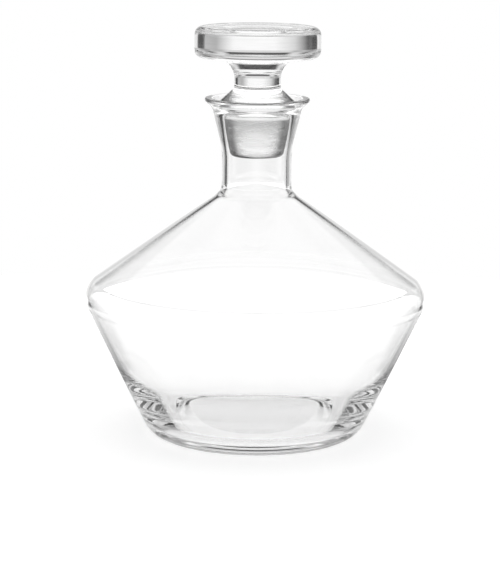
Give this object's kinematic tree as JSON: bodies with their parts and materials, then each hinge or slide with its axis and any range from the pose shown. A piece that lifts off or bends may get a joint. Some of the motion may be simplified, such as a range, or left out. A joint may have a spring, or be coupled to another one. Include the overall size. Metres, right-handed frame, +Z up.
{
  "type": "decanter",
  "caption": "Clear glass decanter with a double-cone body, a heavy bowl-shaped base and a flared neck, closed by a solid disc-topped stopper with a ground plug.",
  "frame": {"origin": "centre of the foot, on the surface that the decanter stands on", "axes": "+Z up the axis of the vessel and its stopper; the form is turned about Z, so X and Y are alike"},
  "size_m": [0.17, 0.17, 0.2042],
  "materials": {
    "clear_glass": "colourless, fire polished, a wall of about 2 mm that thickens into a heavy clear base",
    "stopper_glass": "colourless pressed glass, polished above, with a ground frosted plug"
  },
  "bodies": {
    "vessel": {"vessel": "clear_glass"},
    "stopper": {"stopper": "stopper_glass"}
  },
  "joints": [
    {"name": "stopper_lift", "type": "slide", "parent": "vessel", "child": "stopper", "axis": [0, 0, 1], "range_m": [0, 0.06]}
  ]
}
